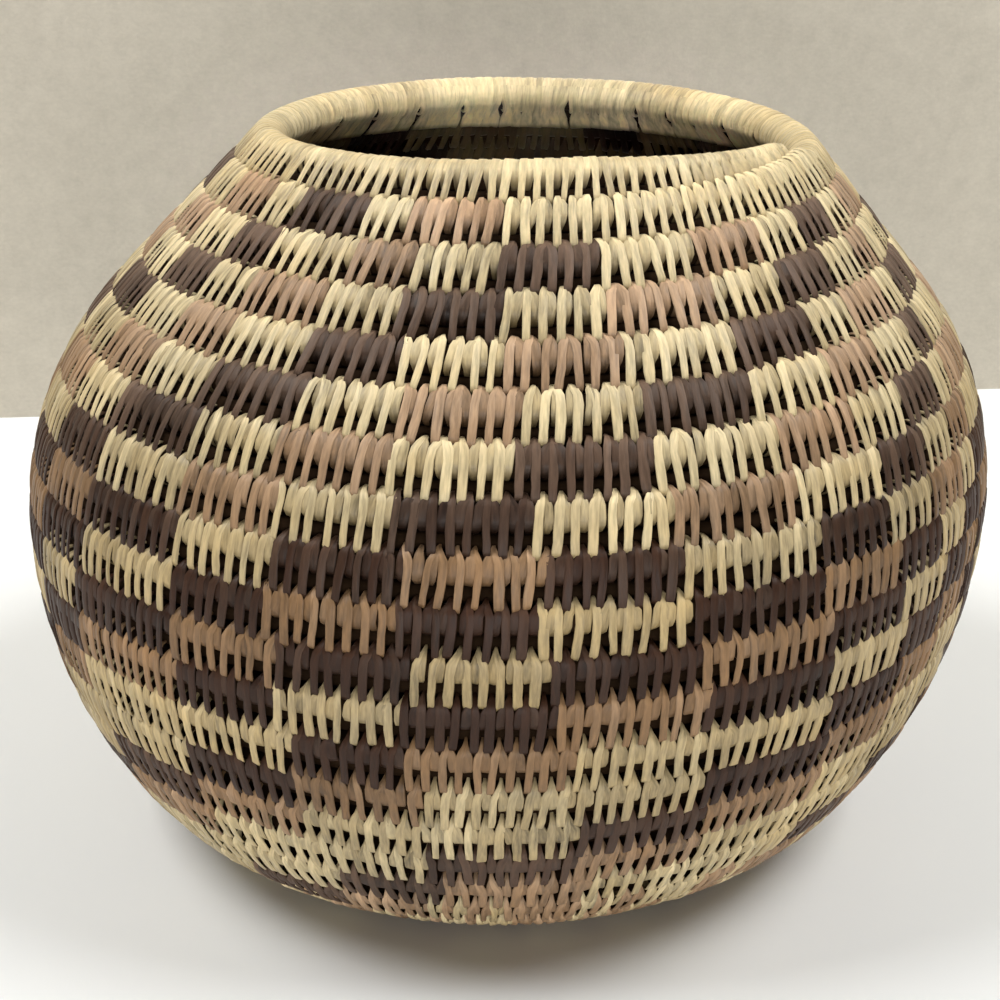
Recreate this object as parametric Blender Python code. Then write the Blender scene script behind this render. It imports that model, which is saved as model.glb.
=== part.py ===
"""A coiled basket: one long coil of rods, laid turn upon turn and sewn down with flat splints.

The coil starts as a knot in the middle of the base, runs six turns flat, then climbs the wall
to a tapered end on the rim. Each turn is a course: a wrapped sleeve round the foundation, whose
stitched foot stands on the crown of the course before it. Seen from above the coil runs
counter-clockwise. The front is -Y and the basket stands on Z = 0.

Every point is placed on the wall by three numbers: turns along the coil, a reach along the
wall's middle line towards the next course, and a depth from that line towards the outside.
"""

import math

import bmesh
import bpy
import numpy as np

# Driving sizes, in metres
ROD_WIDTH = 0.0068
SPLINT_THICKNESS = 0.0009
STITCH_REACH = 0.00112
SEAT_WIDTH = 0.0068
CHEEK_TOP = 0.0018
CHEEK_BOTTOM = -0.0016
RIM_CROWN_WIDTH = 0.0038
RIM_CHEEK_TOP = 0.0012
MOUTH_LEAN_RIGHT = 0.0078
MOUTH_LEAN_BACK = 0.0033
CLIMB = 0.0015
CLIMB_SWAY = 0.0010
TIP_THICKNESS = 0.0040

# Driving angles, in degrees
FOOT_TURN = 56.0
SHOULDER_SLOPE = 47.6
TIP_BEARING = 68.0
TAPER_ANGLE = 58.0
CLIMB_BEARING = 107.0

# Counts
BASE_TURNS = 6
WALL_TURNS = 21
STATIONS = 22

# Courses that each bend of the wall takes, from the foot up; the rest of the wall is straight
FOOT_COURSES = 4.03
LOWER_WALL_COURSES = 6.57
SHOULDER_COURSES = 5.21

# The courses aren't laid quite evenly: they climb most at a crest this many courses below the
# rim, and sag as much this many courses further down
CREST_COURSES = 1.4
SAG_COURSES = 6.0

# Clearances between pieces that touch
SEAT_GAP = 0.0003
ROD_CLEARANCE = 0.0003

# Sizes that follow from those above
TURNS = BASE_TURNS + WALL_TURNS
COIL_HALF = ROD_WIDTH / 2 + ROD_CLEARANCE + SPLINT_THICKNESS
COURSE_RISE = 2 * COIL_HALF + STITCH_REACH
BASE_RADIUS = BASE_TURNS * COURSE_RISE
FOOT_DEPTH = COIL_HALF + STITCH_REACH - SEAT_GAP

# The stations stand a little outside the true round, so that the straight runs between them
# cross it and keep its size
STATION_STRETCH = 2 / (1 + math.cos(math.pi / STATIONS))

# Colours of the splints and rods
CREAM = (0.70, 0.58, 0.36)
TAN = (0.42, 0.26, 0.15)
PATTERNED = (0.36, 0.25, 0.16)
ROD_BROWN = (0.16, 0.09, 0.05)
SPLINT_ROUGHNESS = 0.55
ROD_ROUGHNESS = 0.8
PLAIN_TOP_COURSES = 2
PLAIN_LOW_COURSES = 2

SMOOTH_ANGLE = math.radians(50)


def wall_bends():
    """The wall's middle line from the base's edge to the rim: (bend radius, from, to) headings."""
    upright = math.pi / 2
    foot = math.radians(FOOT_TURN)
    shoulder = math.pi - math.radians(SHOULDER_SLOPE)
    bends = (
        (FOOT_COURSES, 0.0, foot),
        (LOWER_WALL_COURSES, foot, upright),
        (SHOULDER_COURSES, upright, shoulder),
    )
    return [(courses * COURSE_RISE / (end - start), start, end) for courses, start, end in bends]


def middle_line(length):
    """Radius, height and heading of the wall's middle line, this far from the base's centre."""
    radius, height = BASE_RADIUS, COIL_HALF
    if length <= BASE_RADIUS:
        return length, height, 0.0
    left = length - BASE_RADIUS
    for bend, start, end in wall_bends():
        run = min(left, bend * (end - start))
        heading = start + run / bend
        radius += bend * (math.sin(heading) - math.sin(start))
        height += bend * (math.cos(start) - math.cos(heading))
        left -= run
        if left <= 0:
            return radius, height, heading
    return radius + left * math.cos(heading), height + left * math.sin(heading), heading


TOP_HEIGHT = middle_line(TURNS * COURSE_RISE)[1]


def bearing(turns):
    """The angle from the front, in radians, where the coil has run this many turns."""
    return math.radians(TIP_BEARING) + 2 * math.pi * (turns - TURNS)


def climb(length, angle):
    """How far the uneven laying moves a point up the wall, at this bearing."""
    below = max(0.0, TURNS - CREST_COURSES - length / COURSE_RISE) / SAG_COURSES
    wave = math.cos(math.pi * below) if below < 1.5 else 0.0
    return wave * (CLIMB + CLIMB_SWAY * math.cos(angle - math.radians(CLIMB_BEARING)))


def on_wall(turns, reach, depth, swing=0.0):
    """A point of the coil: reach runs along the wall to the next course, depth points outside."""
    angle = bearing(turns) + swing
    length = turns * COURSE_RISE + reach
    radius, height, heading = middle_line(length + climb(length, angle))
    radius = STATION_STRETCH * (radius + depth * math.sin(heading))
    height -= depth * math.cos(heading)
    lean = (height / TOP_HEIGHT) ** 2
    right = radius * math.sin(angle) + lean * MOUTH_LEAN_RIGHT
    back = -radius * math.cos(angle) + lean * MOUTH_LEAN_BACK
    return (right, back, height)


def coil_section(on_rim, fullness):
    """The wrapped coil's outline as (reach, depth), crown first; fullness under 1 thins the end.

    The rim's crown is round. The others are broad seats for the stitched foot that stands on them.
    """
    seat = SEAT_WIDTH / 2
    crown = RIM_CROWN_WIDTH / 2 if on_rim else seat
    cheek_top = RIM_CHEEK_TOP if on_rim else CHEEK_TOP
    outline = (
        (COIL_HALF, -crown),
        (COIL_HALF, crown),
        (cheek_top, COIL_HALF),
        (CHEEK_BOTTOM, COIL_HALF),
        (-FOOT_DEPTH, seat),
        (-FOOT_DEPTH, -seat),
        (CHEEK_BOTTOM, -COIL_HALF),
        (cheek_top, -COIL_HALF),
    )
    return [
        (fullness * (reach + FOOT_DEPTH) - FOOT_DEPTH, fullness * depth) for reach, depth in outline
    ]


def rod_section(half):
    """A rod's or its bore's four corners, each facing one pair of corners of the coil."""
    return [(half, 0.0), (0.0, half), (-half, 0.0), (0.0, -half)]


def end_swing(turns):
    """The angle that opens half a seat gap at a course's end."""
    return SEAT_GAP / 2 / max(middle_line(turns * COURSE_RISE)[0], COIL_HALF)


def stations(first, last):
    """(turns, swing) at each section of a piece that runs from one turn count to another."""
    count = round((last - first) * STATIONS)
    turns = [first + (last - first) * step / count for step in range(count + 1)]
    swings = [end_swing(first)] + [0.0] * (count - 1) + [-end_swing(last)]
    return list(zip(turns, swings))


def finish_mesh(name, shape):
    """Closes up a bmesh as a named object with its faces turned outwards and round sides smooth."""
    bmesh.ops.recalc_face_normals(shape, faces=shape.faces)
    mesh = bpy.data.meshes.new(name)
    shape.to_mesh(mesh)
    shape.free()
    mesh.shade_smooth()
    mesh.set_sharp_from_angle(angle=SMOOTH_ANGLE)
    piece = bpy.data.objects.new(name, mesh)
    bpy.context.scene.collection.objects.link(piece)
    return piece


def add_rings(shape, rings):
    """Adds rings of points and the quads between each ring and the next."""
    loops = [[shape.verts.new(point) for point in ring] for ring in rings]
    for here, there in zip(loops, loops[1:]):
        for side in range(len(here)):
            after = (side + 1) % len(here)
            shape.faces.new((here[side], here[after], there[after], there[side]))
    return loops


def close_with_bore(shape, outer, bore):
    """The flat end of a sleeve, between its eight corners and the bore's four."""
    count = len(bore)
    for corner in range(count):
        after = (corner + 1) % count
        left, right = outer[2 * corner], outer[2 * corner + 1]
        shape.faces.new((left, right, bore[corner]))
        shape.faces.new((right, outer[2 * after], bore[after], bore[corner]))


def course(name, first, last, on_rim=False):
    """One turn of the wrapped coil, a sleeve round the foundation. The rim's end tapers."""
    taper_start = last - TAPER_ANGLE / 360 if on_rim else last
    thinnest = TIP_THICKNESS / (2 * COIL_HALF)
    rings, bores = [], []
    for turns, swing in stations(first, last):
        gone = max(0.0, (turns - taper_start) / (last - taper_start)) if on_rim else 0.0
        section = coil_section(on_rim, 1 - (1 - thinnest) * gone)
        rings.append([on_wall(turns, reach, depth, swing) for reach, depth in section])
        if turns <= taper_start:
            hole = rod_section(ROD_WIDTH / 2 + ROD_CLEARANCE)
            bores.append([on_wall(turns, reach, depth, swing) for reach, depth in hole])
    shape = bmesh.new()
    outer = add_rings(shape, rings)
    inner = add_rings(shape, bores)
    close_with_bore(shape, outer[0], inner[0])
    if on_rim:
        shape.faces.new(inner[-1])
        shape.faces.new(outer[-1])
    else:
        close_with_bore(shape, outer[-1], inner[-1])
    return finish_mesh(name, shape)


def foundation(name, first, last):
    """One unbroken length of rod inside the courses, as a spiral tube."""
    rings = [
        [on_wall(turns, reach, depth, swing) for reach, depth in rod_section(ROD_WIDTH / 2)]
        for turns, swing in stations(first, last)
    ]
    shape = bmesh.new()
    loops = add_rings(shape, rings)
    shape.faces.new(loops[0])
    shape.faces.new(loops[-1])
    return finish_mesh(name, shape)


def start_knot(name):
    """The first turn, wound tight: a button whose edge runs outwards to meet the first course."""
    seat = SEAT_WIDTH / 2
    edge = (
        (CHEEK_TOP, -COIL_HALF),
        (COIL_HALF, -seat),
        (COIL_HALF, seat),
        (CHEEK_TOP, COIL_HALF),
    )
    shape = bmesh.new()
    inside = shape.verts.new((0.0, 0.0, 2 * COIL_HALF))
    underside = shape.verts.new((0.0, 0.0, 0.0))
    columns = []
    for step in range(STATIONS + 1):
        turns = step / STATIONS
        columns.append([shape.verts.new(on_wall(turns, *corner)) for corner in edge])
    for here, there in zip(columns, columns[1:]):
        for low, high in zip(range(3), range(1, 4)):
            shape.faces.new((here[low], here[high], there[high], there[low]))
        shape.faces.new((inside, there[0], here[0]))
        shape.faces.new((underside, here[3], there[3]))
    first, last = columns[0], columns[-1]
    for low, high in zip(range(3), range(1, 4)):
        shape.faces.new((last[low], last[high], first[high], first[low]))
    shape.faces.new((inside, first[0], last[0]))
    shape.faces.new((underside, last[3], first[3]))
    return finish_mesh(name, shape)


def splint_material(name, colour, roughness):
    """A plain surface of one colour."""
    material = bpy.data.materials.new(name)
    material.use_nodes = True
    surface = material.node_tree.nodes["Principled BSDF"]
    surface.inputs["Base Color"].default_value = (*colour, 1.0)
    surface.inputs["Roughness"].default_value = roughness
    surface.inputs["Metallic"].default_value = 0.0
    material.diffuse_color = (*colour, 1.0)
    return material


def coat(piece, colour, roughness=SPLINT_ROUGHNESS):
    """Gives a piece its own material."""
    piece.data.materials.append(splint_material(piece.name + "_surface", colour, roughness))
    return piece


def wall_colour(number):
    """Plain cream near the mouth, patterned splints round the belly and tan at the foot."""
    if number > WALL_TURNS - 1 - PLAIN_TOP_COURSES:
        return CREAM
    return TAN if number <= PLAIN_LOW_COURSES else PATTERNED


def report_coil_gap(name, first, last):
    """Prints the least gap between a foundation length and its own next turn."""
    points = np.array([on_wall(turns, 0.0, 0.0) for turns, _ in stations(first, last)])
    gaps = np.linalg.norm(points[STATIONS:] - points[:-STATIONS], axis=1) - ROD_WIDTH
    print(f"{name}: least gap to its own next turn {gaps.min() * 1000:.2f} mm")


def centre_on_footprint(pieces):
    """Hangs the pieces from one empty, placed so that the box round them is centred on X and Y."""
    corners = np.array([vertex.co for piece in pieces for vertex in piece.data.vertices])
    middle = (corners.min(axis=0) + corners.max(axis=0)) / 2
    stand = bpy.data.objects.new("basket", None)
    bpy.context.scene.collection.objects.link(stand)
    stand.location = (-middle[0], -middle[1], 0.0)
    for piece in pieces:
        piece.parent = stand


def build_basket():
    for old in list(bpy.data.objects):
        bpy.data.objects.remove(old)
    pieces = [coat(start_knot("start_knot"), TAN)]
    for number in range(1, BASE_TURNS):
        pieces.append(coat(course(f"base_course_{number:02d}", number, number + 1), TAN))
    for number in range(1, WALL_TURNS):
        first = BASE_TURNS + number - 1
        pieces.append(coat(course(f"wall_course_{number:02d}", first, first + 1), wall_colour(number)))
    pieces.append(coat(course("rim_course", TURNS - 1, TURNS, on_rim=True), CREAM))
    rod_end = TURNS - math.ceil(TAPER_ANGLE / 360 * STATIONS + 1) / STATIONS
    lengths = (("base_foundation", 1, BASE_TURNS), ("wall_foundation", BASE_TURNS, rod_end))
    for name, first, last in lengths:
        pieces.append(coat(foundation(name, first, last), ROD_BROWN, ROD_ROUGHNESS))
        report_coil_gap(name, first, last)
    centre_on_footprint(pieces)


build_basket()
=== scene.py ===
"""A round coiled basket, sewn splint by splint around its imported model.

The coil starts in the middle of the base, climbs the wall and ends in a thin tip on the rim.
Rods run inside it. Every second wrap is a long stitch, which reaches down and goes through the
crown of the course below. The short wraps between them stay on their own course.

Every point has three coordinates, as in the part's source: turns along the coil, a reach up the
wall and a depth outwards from the wall's middle line, in metres.
"""

import math

import bpy
import numpy as np
from mathutils import Matrix, Vector


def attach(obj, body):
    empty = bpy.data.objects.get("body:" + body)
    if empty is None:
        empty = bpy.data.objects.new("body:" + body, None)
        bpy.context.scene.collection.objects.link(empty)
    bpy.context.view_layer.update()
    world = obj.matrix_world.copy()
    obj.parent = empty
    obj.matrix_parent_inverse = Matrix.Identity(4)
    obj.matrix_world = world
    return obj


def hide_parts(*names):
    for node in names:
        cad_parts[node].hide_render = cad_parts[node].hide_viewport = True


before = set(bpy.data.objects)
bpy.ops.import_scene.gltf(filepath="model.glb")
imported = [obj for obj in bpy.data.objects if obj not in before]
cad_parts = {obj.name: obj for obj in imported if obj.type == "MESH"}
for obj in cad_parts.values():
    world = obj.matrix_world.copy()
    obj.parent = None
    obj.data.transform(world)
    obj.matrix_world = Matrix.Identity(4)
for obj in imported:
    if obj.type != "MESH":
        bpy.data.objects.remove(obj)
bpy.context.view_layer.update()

bl_info = {
    "name": "Coiled basket",
    "version": (1, 0, 0),
    "blender": (4, 5, 0),
    "location": "3D View > Sidebar > Basket",
    "description": "Sews a coiled basket from rods and splints",
    "category": "Add Mesh",
}

# The coil, in metres, and how many stations the solids have in a turn
COIL_HALF = 0.0046
COURSE_RISE = 2 * COIL_HALF + 0.00112
FOOT_DEPTH = 0.00542
CHEEKS = (-0.0016, 0.0018)
STATIONS = 22
TIP_THICKNESS = 0.0040

# The wall: courses that each bend takes from the foot up, and its slopes in degrees
BASE_TURNS = 6
TURNS = 27
FOOT_COURSES = 4.03
LOWER_WALL_COURSES = 6.57
SHOULDER_COURSES = 5.21
FOOT_TURN = 56.0
SHOULDER_SLOPE = 47.6
BASE_RADIUS = BASE_TURNS * COURSE_RISE

# The rim's tip in degrees, and the mouth's lean in metres
TIP_BEARING = 68.0
TAPER_ANGLE = 58.0
LEAN_RIGHT = 0.0078
LEAN_BACK = 0.0033

# How unevenly the courses are laid: a wave up the wall in metres, its bearing, and its courses
CLIMB = 0.0015
CLIMB_SWAY = 0.0010
CLIMB_BEARING = 107.0
CREST_COURSES = 1.4
SAG_COURSES = 6.0
SAG_END = 1.5

# Slight swelling and thinning along the coil: its size in metres, and each wave's share, radians
# a turn and start
SWELL_SIZE = 0.00012
SWELL_WAVES = ((1.0, 31.0, 0.0), (0.8, 57.0, 1.0), (0.5, 13.7, 0.0))

# The wrapped bundle of rods within a course: its middle's reach, half sizes and squareness, how
# deep its rods lie, and how much higher its crown stands
BUNDLE_REACH = 0.0009
BUNDLE_HALF_REACH = 0.0037
BUNDLE_HALF_DEPTH = 0.00455
BUNDLE_SQUARENESS = 2.6
CORE_DEPTH = 0.0007
TONGUE_RISE = 0.0011

# The thin rod below each bundle, in the dark behind the long stitches
NECK_REACH = -0.0043
NECK_HALF_REACH = 0.0022
NECK_HALF_DEPTH = 0.0017

# Rods: sides of their outlines, rings in a turn, where they begin in turns, and how near the
# middle of the base they come
CORE_SIDES = 12
NECK_SIDES = 6
ROD_RINGS = 60
CORE_FROM = 0.02
NECK_FROM = 0.9
AXIS_GAP = 0.0004

# Stitches: pairs in a turn at the belly, places in a turn where they are counted, the turns
# between which they come to be sewn tighter and their legs get shorter, the reaches between which
# a place belongs to the leg, and the share of the way that crowns are drawn to the tongues
BELLY_PAIRS = 216.25
COUNTS_PER_TURN = 400
TIGHTER = (10.2, 9.7)
LEGS_SHORTER = (10.2, 8.7)
LEG_REACHES = (-0.0036, -0.0066)
TONGUE_DRAW = 0.95

# The least radius, in metres, by which a stray is turned into an angle
LEAST_RADIUS = 0.0045

# How stitches differ from each other: as shares, in metres or in radians. Draws are held within
# so many deviations
SEED = 12
SEED_STEP = 10
STITCHES_PER_SPLINT = 7
STITCHES_PER_LEAN = 6
STRAY_MOST = 1.8
SLOW_MOST = 1.6
START_SPREAD = 0.065
WIDTH_SPREAD = 0.10
LEVEL_SPREAD = 0.00006
ROLL_SPREAD = 0.11
SWELL_SPREAD = 0.05
TONE_SPREAD = 0.6
SPLINT_TONE_SPREAD = 0.65
HUE_SPREAD = 0.16
GRAIN_SHIFT = 90

# Short wraps lie lower than long stitches, in metres, and get painted shade, while long stitches get
# a painted highlight
SHORT_LEVEL = -0.00014
SHORT_PAINTED_SHADE = -0.8
LONG_PAINTED_HIGHLIGHT = 0.6

# Turns between which the splints change to their darker lower colours, and part of the way back to
# paler ones nearer the foot
TO_LOWER_COLOURS = (22.0, 18.0)
BACK_TO_PALER = (14.5, 10.5)
PALER_SHARE = 0.6

# The rim's wraps: shares of the width on top, and on the inner side for short and long ones, the
# turns between which they come to be spaced closer, and reaches below which they part or widen
RIM_WIDTH = 1.25
RIM_INNER_WIDTHS = (1.3 * RIM_WIDTH, 1.8 * RIM_WIDTH)
RIM_SQUARENESSES = (2.0, 2.2)
RIM_UNEVENNESS = 0.3
RIM_SPACED = (TURNS - 1.3, TURNS - 1.0)
RIM_SHORT_LEVEL = -0.00005
RIM_LEGS_BELOW = -0.0006
RIM_WIDE_BELOW = -0.002

# Painted light and shade on the rim: reaches between which its inner side opens to painted light
# and its slits open, it tucks in below into painted shade and its outer crown begins, and how
# much painted shade or painted light each place gets
RIM_OPENS = (0.0035, -0.0005)
RIM_SLITS_OPEN = (0.004, 0.0018)
RIM_TUCKS_IN = (-0.0042, -0.0072)
RIM_CROWN = (0.0, 0.004)
RIM_INNER_PAINTED_SHADE = 0.1
RIM_PAINTED_LIGHT = 0.55
RIM_TUCKED_PAINTED_SHADE = 1.45
RIM_OUTER_PAINTED_SHADE = 0.04
RIM_CROWN_PAINTED_SHADE = 0.06

# The rim's end: bearings between which its legs close, by how much of their width and over which
# last share of a turn, and the degrees and the thinning of its last stretch
CLOSED_FROM = 24.0
CLOSED_BY = 40.0
CLOSED_WIDTH = 1.3
CLOSED_TURNS = 0.25
END_ANGLE = 9.0
END_THINNING = 0.6

# The rim's back: how much fuller it is and between which turns it comes to be, and slits between
# the wraps on its inner side: their bearings, half widths and how far they push the wraps aside
BACK_SWELL = 0.11
SWOLLEN = (TURNS - 0.95, TURNS - 0.8)
SLIT_BEARINGS = (142, 151, 170, 187, 197, 209, 223, 235, 245, *range(262, 490, 13))
SLIT_HALF = 0.0012
SLIT_REACH = 0.0046

# The pattern. Columns of blocks are numbered from the front's left. An edge has its bearing on
# the eighth course below the rim and, for each course above or below that, its drift
FIRST_COLUMN = -1
BLOCK_EDGES = (-64.5, -52.3, -37.2, -24.7, -11.7, 2.2, 16.3, 31.3, 43.3, 51.2, 59.0, 65.5)
DRIFT_ABOVE = (0.0, 0.0, 1.0, 0.8, 1.2, 1.05, 1.0, 1.15, 1.0, 0.5, 0.0, 0.0)
DRIFT_BELOW = (0.3, 0.0, 0.3, 0.5, 0.6, 1.0, 1.0, 1.1, 1.0, 1.3, 0.6, 0.2)
COLUMNS = 27
DRIFT_COURSE = 8

# Colours that follow each other along a course in the upper, lower and foot bands, and where each
# band ends, in turns before the coil passes the front for the last time
CREAM, TAN, DARK = 0, 1, 2
UPPER_BLOCKS = (TAN, CREAM, DARK, CREAM)
LOWER_BLOCKS = (DARK, CREAM, DARK, TAN)
FOOT_BLOCKS = (CREAM, CREAM, DARK, TAN)
PLAIN_ABOVE = 1.015
UPPER_DOWN_TO = 7.88
LOWER_DOWN_TO = 11.5
BLOCKS_DOWN_TO = 16.4
LAST_COURSE = 17
LAST_EDGE = -12.0
CREAM_AT_FOOT = 0.45

# The baking map: rows of loops, and margins as shares of a loop's own room. The grain's map is
# in millimetres
BAKE_ROWS = 5
SIDE_MARGIN = 0.08
END_MARGIN = 0.01
MILLIMETRES = 1000

# Camera, from the photograph's outline: place before the coil's axis, in metres and degrees
CAMERA_RIGHT = 0.0014
CAMERA_FRONT = 0.4285
CAMERA_HEIGHT = 0.2533
CAMERA_PITCH = 22.19
CAMERA_PAN = -0.15
CAMERA_ROLL = 0.15
FOCAL_PIXELS = 1757.0
IMAGE_PIXELS = 1000.0
SENSOR_WIDTH = 36.0

# The stage: half the table's width and the cloth's height, and how far the cloth runs askew
STAGE_HALF = 2.5
CLOTH_SLANT = 0.10

# Lamps: where each stands, what it faces, its width and height, and the rim lamp's beam
KEY_LAMP = (0.95, -0.22, 1.50), (0.0, 0.0, 0.08), (0.8, 0.65)
FRONT_LAMP = (0.0, -1.60, 0.13), (0.0, 0.0, 0.10), (1.2, 0.22)
RIM_LAMP = (0.0, -1.50, 0.85), (0.0, 0.07, 0.172), (0.2, 0.05)
RIM_LAMP_SPREAD = 5.0


def measure_setting(name, description, default, unit="LENGTH"):
    """A measure that a user may change: a length in metres, or a power in watts."""
    words = {"name": name, "description": description}
    return bpy.props.FloatProperty(default=default, unit=unit, **words)


def colour_setting(name, description, default):
    """A colour that a user may change."""
    words = {"name": name, "description": description}
    return bpy.props.FloatVectorProperty(default=default, subtype="COLOR", **words)


class CoilSizes(bpy.types.PropertyGroup):
    """Sizes that a user may change before sewing."""

    splint_width: bpy.props.FloatProperty(
        name="Splint width",
        description="Width of a sewing splint on the bundle, as a share of its room there",
        default=1.12,
        subtype="FACTOR",
    )
    splint_thickness: measure_setting(
        "Splint thickness", "Thickness of a sewing splint", 0.00036
    )
    pair_spacing: measure_setting(
        "Stitch spacing", "From one long stitch to the next along the coil", 0.0034
    )
    foot_spacing: measure_setting(
        "Foot spacing", "From one long stitch to the next on the base and the foot", 0.0026
    )
    rim_spacing: measure_setting(
        "Rim spacing", "From one long stitch to the next along the rim", 0.0029
    )
    wander: measure_setting(
        "Wander", "How far a stitch's lower end strays along the coil", 0.00034
    )
    lean: measure_setting(
        "Lean", "How far neighbouring stitches lean together along the coil", 0.0002
    )
    foot_shortening: measure_setting(
        "Foot shortening", "How much shorter the legs of the long stitches are near the foot", 0.0011
    )
    roughness: measure_setting("Roughness", "How far a splint's edges waver", 0.00004)


class SplintColours(bpy.types.PropertyGroup):
    """Colours of the splints and rods, near the mouth and near the foot."""

    cream_upper: colour_setting("Cream, upper", "Undyed splints near the mouth", (0.62, 0.51, 0.30))
    cream_lower: colour_setting(
        "Cream, lower", "Undyed splints near the foot", (0.36, 0.275, 0.145)
    )
    tan_upper: colour_setting("Tan, upper", "Tan splints near the mouth", (0.42, 0.28, 0.17))
    tan_lower: colour_setting("Tan, lower", "Tan splints near the foot", (0.195, 0.112, 0.052))
    dark_upper: colour_setting("Dark, upper", "Dyed splints near the mouth", (0.13, 0.082, 0.054))
    dark_lower: colour_setting("Dark, lower", "Dyed splints near the foot", (0.034, 0.014, 0.0065))
    # Near black: the rods' brown, darkened as painted shade for the gaps between the stitches
    rods: colour_setting("Rods", "Rods inside the coil", (0.014, 0.0075, 0.0036))


class StageSettings(bpy.types.PropertyGroup):
    """Where the basket stands and how it is lit."""

    floor: colour_setting("Table", "Colour of the table", (0.895, 0.91, 0.905))
    cloth: colour_setting("Cloth", "Colour of the cloth behind", (0.508, 0.465, 0.385))
    cloth_distance: measure_setting(
        "Cloth distance", "From the basket's middle back to the cloth", 0.305
    )
    key_power: measure_setting(
        "Key light", "Power of each of the two large lamps above", 20.8, "POWER"
    )
    front_power: measure_setting(
        "Front light", "Power of the wide, low lamp in front", 12.0, "POWER"
    )
    rim_power: measure_setting(
        "Rim lamp", "Power of the small narrow lamp for the rim's inner side", 0.043, "POWER"
    )
    sky_strength: bpy.props.FloatProperty(
        name="Sky",
        description="Strength of the even light from all round",
        default=0.015,
    )


def ramp(values, start, full):
    """A share that runs from 0 at the start to 1 where it is full, upwards or downwards."""
    return np.clip((values - start) / (full - start), 0.0, 1.0)


def scatter(chance, size, most=2.0):
    """Normal random values, held within this many deviations."""
    return chance.normal(size=size).clip(-most, most)


def wall_bends():
    """The bends of the wall's middle line from the foot up: (radius, first, last) headings."""
    upright = math.pi / 2
    foot = math.radians(FOOT_TURN)
    shoulder = math.pi - math.radians(SHOULDER_SLOPE)
    bends = (
        (FOOT_COURSES, 0.0, foot),
        (LOWER_WALL_COURSES, foot, upright),
        (SHOULDER_COURSES, upright, shoulder),
    )
    return [(courses * COURSE_RISE / (last - first), first, last) for courses, first, last in bends]


def middle_line(length):
    """Radius, height and heading of the wall's middle line at these lengths from the centre."""
    radius = np.minimum(length, BASE_RADIUS)
    height = np.full_like(radius, COIL_HALF)
    heading = np.zeros_like(radius)
    left = np.maximum(length - BASE_RADIUS, 0.0)
    for bend, first, last in wall_bends():
        turned = first + np.minimum(left / bend, last - first)
        radius = radius + bend * (np.sin(turned) - math.sin(first))
        height = height + bend * (math.cos(first) - np.cos(turned))
        heading = np.where(left > 0, turned, heading)
        left = np.maximum(left - bend * (last - first), 0.0)
    return radius + left * np.cos(heading), height + left * np.sin(heading), heading


def bearing(turns):
    """The angle from the front, in radians, where the coil has run these turns."""
    return math.radians(TIP_BEARING) + 2 * math.pi * (turns - TURNS)


def climb(length, angle):
    """How far the uneven laying moves points up the wall."""
    below = np.maximum(TURNS - CREST_COURSES - length / COURSE_RISE, 0.0) / SAG_COURSES
    wave = np.where(below < SAG_END, np.cos(math.pi * below), 0.0)
    return wave * (CLIMB + CLIMB_SWAY * np.cos(angle - math.radians(CLIMB_BEARING)))


TOP_HEIGHT = float(middle_line(np.array(TURNS * COURSE_RISE))[1])


def coil_points(turns, reach, depth, stretch=1.0):
    """Points of the coil before it is centred, and the directions up the wall and outwards."""
    turns, reach, depth = np.broadcast_arrays(turns, reach, depth)
    angle = bearing(turns)
    length = turns * COURSE_RISE + reach
    radius, height, heading = middle_line(np.maximum(length + climb(length, angle), 0.0))
    across, upwards = np.cos(heading), np.sin(heading)
    radius = stretch * (radius + depth * upwards)
    height = height - depth * across
    lean = (height / TOP_HEIGHT) ** 2
    right = radius * np.sin(angle) + lean * LEAN_RIGHT
    back = -radius * np.cos(angle) + lean * LEAN_BACK
    up_wall = np.stack([across * np.sin(angle), -across * np.cos(angle), upwards], -1)
    outward = np.stack([upwards * np.sin(angle), -upwards * np.cos(angle), -across], -1)
    return np.stack([right, back, height], -1), up_wall, outward


def footprint_middle():
    """The middle of the box round the model's coil, on X and Y, which is moved to the origin."""
    turns = np.arange(0.0, TURNS, 1 / STATIONS)[:, None]
    stretch = 2 / (1 + math.cos(math.pi / STATIONS))
    points = coil_points(turns, np.array(CHEEKS), COIL_HALF, stretch)[0].reshape(-1, 3)
    middle = (points.min(axis=0) + points.max(axis=0)) / 2
    return np.array([middle[0], middle[1], 0.0])


FOOTPRINT_MIDDLE = footprint_middle()


def wobble(turns):
    """A slight swelling and thinning of the coil along the wall, none on the base."""
    swell = sum(share * np.sin(turns * speed + start) for share, speed, start in SWELL_WAVES)
    return SWELL_SIZE * swell * ramp(turns, BASE_TURNS + 1, BASE_TURNS + 2)


def on_wall(turns, reach, depth):
    """Points of the basket, and the directions up the wall and outwards there."""
    points, up_wall, outward = coil_points(turns, reach, depth + wobble(turns))
    return points - FOOTPRINT_MIDDLE, up_wall, outward


def fullness(turns):
    """The share of the coil's full thickness: less at the rim's tip, a little more at its back."""
    thinnest = TIP_THICKNESS / (2 * COIL_HALF)
    gone = ramp(turns, TURNS - TAPER_ANGLE / 360, TURNS)
    last = ramp(turns, TURNS - END_ANGLE / 360, TURNS)
    onto_rim = ramp(turns, *SWOLLEN)
    swell = BACK_SWELL * onto_rim * np.maximum(-np.cos(bearing(turns)), 0.0)
    return (1 - (1 - thinnest) * gone) * (1 - END_THINNING * last**2) + swell


def thinned(turns, reach, depth):
    """Reach and depth drawn in towards the coil's foot where the rim thins."""
    full = fullness(turns)
    above = np.maximum(reach + FOOT_DEPTH, 0.0)
    return full * above + np.minimum(reach, -FOOT_DEPTH), full * depth


def circle(count, half_reach, half_depth, middle_reach):
    """A rod's or bundle's outline as (reach, depth), crown first, turning outwards."""
    turn = 2 * math.pi * np.arange(count) / count
    return np.stack([middle_reach + half_reach * np.cos(turn), half_depth * np.sin(turn)], -1)


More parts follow.
